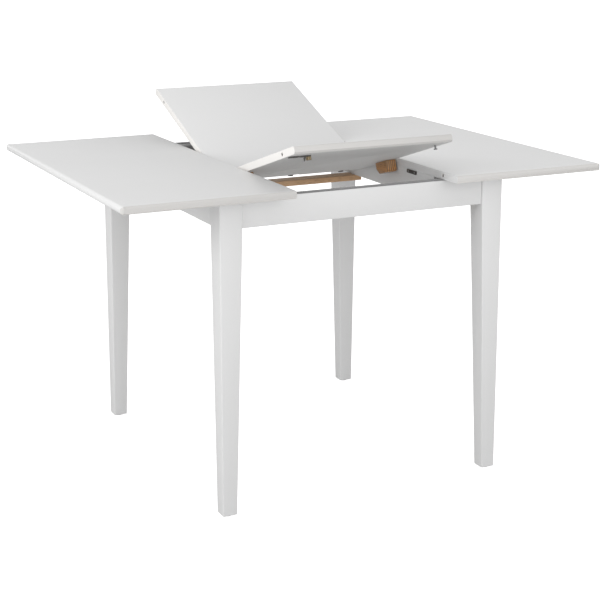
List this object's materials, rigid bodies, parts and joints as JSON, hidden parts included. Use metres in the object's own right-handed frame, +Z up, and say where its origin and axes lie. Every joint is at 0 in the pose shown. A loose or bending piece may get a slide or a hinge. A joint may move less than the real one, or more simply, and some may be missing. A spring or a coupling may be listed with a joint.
{
  "type": "extending dining table",
  "caption": "Rectangular extending dining table on tapered square legs, pulled apart, with its hinged folding leaf half raised between the sliding tops.",
  "frame": {"origin": "on the floor, under the middle of the table", "axes": "+X is the direction in which the tops slide apart, -Y is the side the leaf is worked from, +Z is up"},
  "size_m": [1.206, 0.9, 0.8744],
  "materials": {
    "board_lacquer": "satin white lacquer on the tops and the leaf",
    "frame_lacquer": "satin white lacquer on legs, aprons and cross boards",
    "brown_wood": "oiled reddish-brown wood with open grain",
    "block_wood": "bare sawn softwood",
    "strip_felt": "dark grey self-adhesive felt",
    "rail_metal": "dark grey anodised extrusion",
    "zinc_steel": "zinc-plated steel",
    "dark_steel": "black-coated pressed steel",
    "knob_brass": "dull brass",
    "nylon": "off-white nylon"
  },
  "bodies": {
    "frame": {"corner_block_front_left": "block_wood", "corner_block_front_right": "block_wood", "corner_block_rear_left": "block_wood", "corner_block_rear_right": "block_wood", "corner_bolt_front_left": "zinc_steel", "corner_bolt_front_right": "zinc_steel", "corner_bolt_rear_left": "zinc_steel", "corner_bolt_rear_right": "zinc_steel", "cross_board_left": "frame_lacquer", "cross_board_right": "frame_lacquer", "foot_glide_front_left": "nylon", "foot_glide_front_right": "nylon", "foot_glide_rear_left": "nylon", "foot_glide_rear_right": "nylon", "front_apron": "frame_lacquer", "glide_strip_front": "strip_felt", "glide_strip_rear": "strip_felt", "guide_rail_front": "rail_metal", "guide_rail_rear": "rail_metal", "left_apron": "frame_lacquer", "leg_front_left": "frame_lacquer", "leg_front_right": "frame_lacquer", "leg_rear_left": "frame_lacquer", "leg_rear_right": "frame_lacquer", "rear_apron": "frame_lacquer", "right_apron": "frame_lacquer", "stop_plate_left": "dark_steel", "stop_plate_right": "dark_steel", "stow_plank": "brown_wood", "stow_screw_left": "dark_steel", "stow_screw_right": "dark_steel"},
    "left_top": {"left_runner_front": "zinc_steel", "left_runner_rear": "zinc_steel", "left_top": "board_lacquer", "top_pin_front": "brown_wood", "top_pin_rear": "brown_wood"},
    "right_top": {"right_runner_front": "zinc_steel", "right_runner_rear": "zinc_steel", "right_top": "board_lacquer"},
    "leaf_near": {"fold_hinge_near_1": "dark_steel", "fold_hinge_near_2": "dark_steel", "fold_hinge_near_3": "dark_steel", "latch_plate": "dark_steel", "leaf_near_half": "board_lacquer", "leaf_pin_front": "brown_wood", "pivot_block_left": "brown_wood", "pivot_block_right": "brown_wood", "pivot_pin_left": "zinc_steel", "pivot_pin_right": "zinc_steel", "pivot_washer_left": "nylon", "pivot_washer_right": "nylon"},
    "leaf_far": {"fold_hinge_far_1": "dark_steel", "fold_hinge_far_2": "dark_steel", "fold_hinge_far_3": "dark_steel", "leaf_far_half": "board_lacquer", "leaf_pin_rear": "brown_wood"},
    "latch_knob": {"latch_knob": "knob_brass"},
    "tee_catch": {"tee_catch": "zinc_steel"}
  },
  "joints": [
    {"name": "left_top_slide", "type": "slide", "parent": "frame", "child": "left_top", "axis": [1, 0, 0], "range_m": [0, 0.003]},
    {"name": "right_top_slide", "type": "slide", "parent": "frame", "child": "right_top", "axis": [-1, 0, 0], "range_m": [0, 0.003]},
    {"name": "leaf_pivot", "type": "hinge", "parent": "frame", "child": "leaf_near", "pos_m": [0, -0.125, 0.717], "axis": [-1, 0, 0], "range_deg": [-17.2, 60]},
    {"name": "leaf_fold", "type": "hinge", "parent": "leaf_near", "child": "leaf_far", "pos_m": [0, 0.00417, 0.71156], "axis": [1, 0, 0], "range_deg": [-38.7, 135]},
    {"name": "latch_turn", "type": "hinge", "parent": "leaf_near", "child": "latch_knob", "pos_m": [-0.146, -0.38804, 0.81413], "axis": [0, 0.2957, 0.9553], "range_deg": [-90, 90]},
    {"name": "catch_turn", "type": "hinge", "parent": "leaf_near", "child": "tee_catch", "pos_m": [0.178, -0.38804, 0.81413], "axis": [0, 0.2957, 0.9553], "range_deg": [0, 90]}
  ],
  "couplings": [
    {"joint": "leaf_fold", "follows": "leaf_pivot", "ratio": 2.25}
  ]
}
